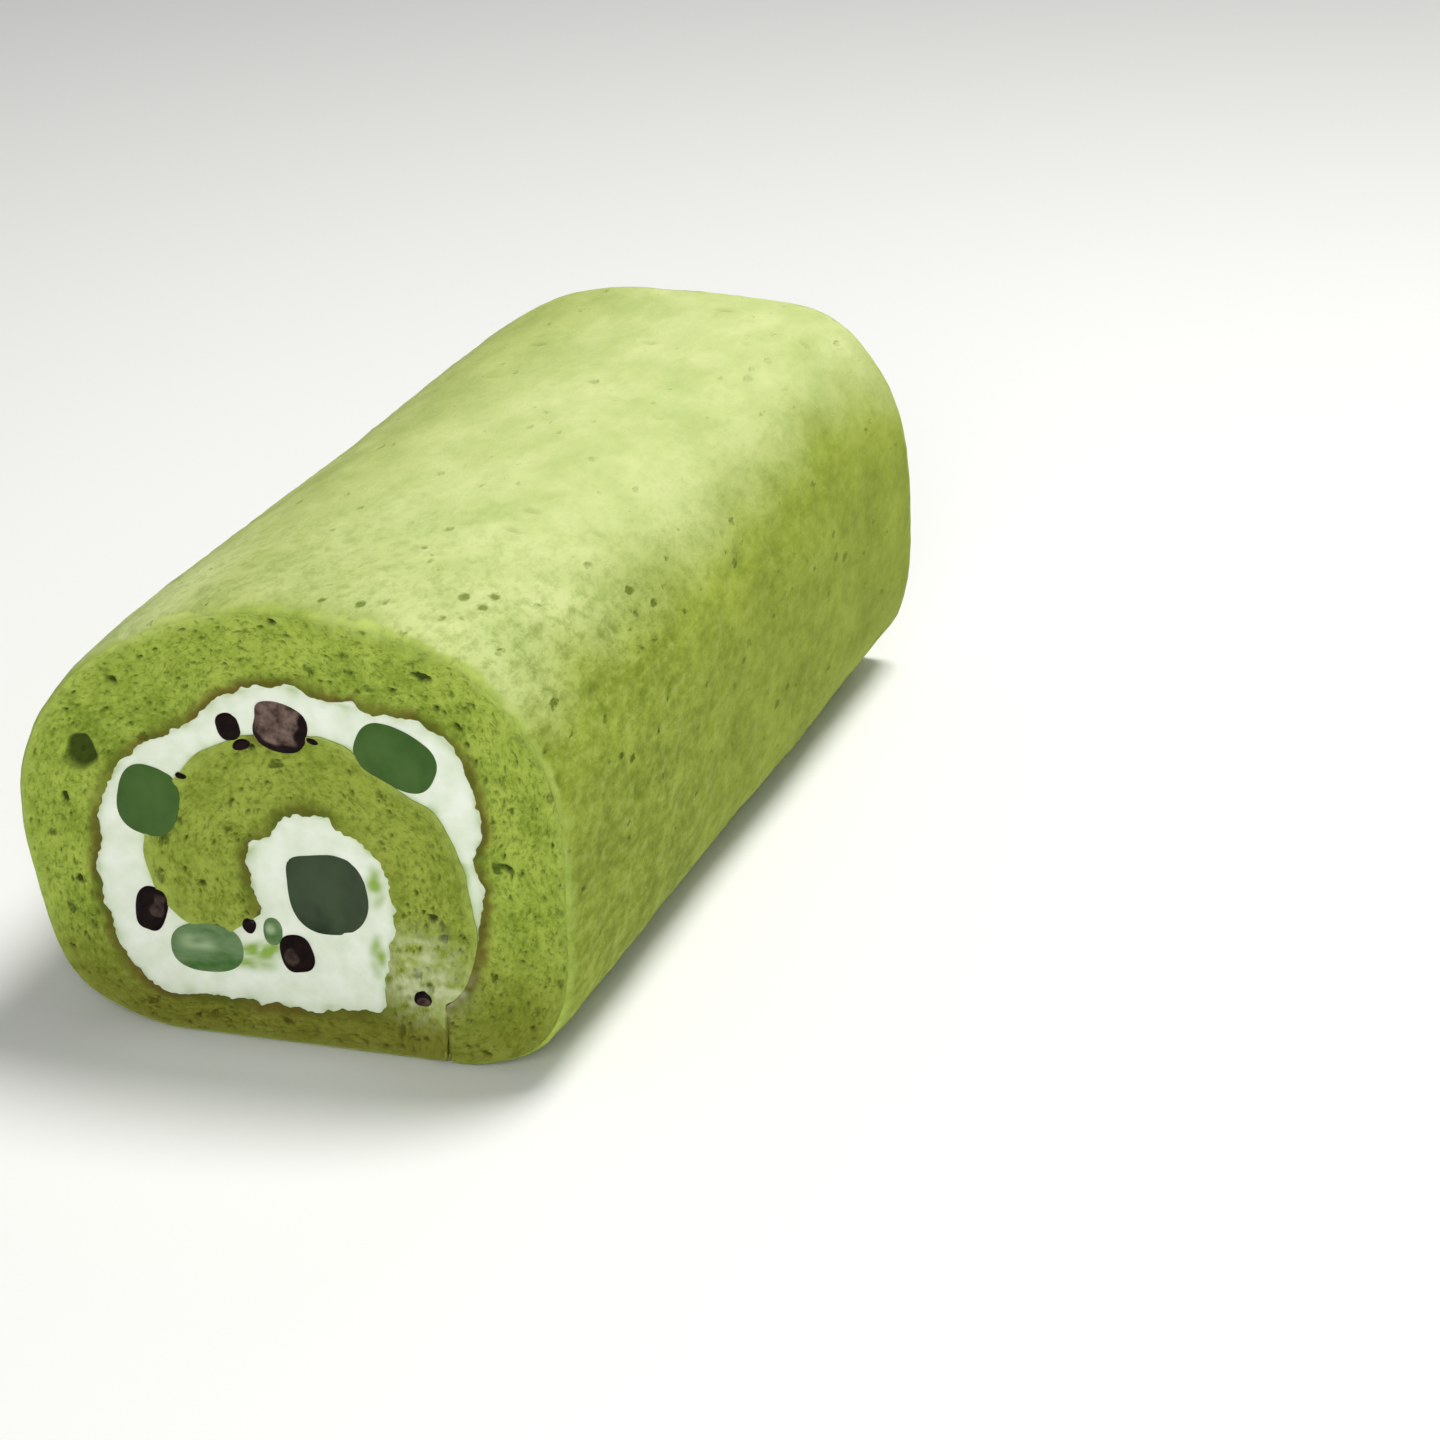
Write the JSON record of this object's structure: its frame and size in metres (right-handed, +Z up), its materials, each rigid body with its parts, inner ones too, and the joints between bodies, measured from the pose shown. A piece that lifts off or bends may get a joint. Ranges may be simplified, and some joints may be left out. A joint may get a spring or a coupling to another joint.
{
  "type": "swiss roll cake",
  "caption": "Green tea swiss roll cake, whole and cut at both ends, with whipped cream, green tea jelly and sweet red beans rolled up in it.",
  "frame": {"origin": "under the middle of the roll, on the surface it rests on", "axes": "+Z up, +Y along the roll from the shown cut end to the far cut end, +X to the right of someone who faces the shown end"},
  "size_m": [0.083, 0.17, 0.065],
  "materials": {
    "sponge": "matte",
    "cream": "satin",
    "jelly": "gloss",
    "bean": "gloss"
  },
  "bodies": {
    "root": {"sponge_sheet": "sponge", "cream_filling": "cream", "jelly_front_heart": "jelly", "jelly_front_upper_right": "jelly", "jelly_front_left": "jelly", "jelly_front_lower_left": "jelly", "jelly_front_scrap": "jelly", "bean_front_top_small": "bean", "bean_front_top_large": "bean", "bean_front_left": "bean", "bean_front_bottom": "bean", "bean_front_tip": "bean", "bean_front_bend": "bean", "jelly_rear_heart": "jelly", "jelly_rear_top": "jelly", "jelly_rear_left": "jelly", "bean_rear_top": "bean", "bean_rear_right": "bean", "bean_rear_bottom": "bean", "bean_rear_heart": "bean"}
  },
  "joints": []
}
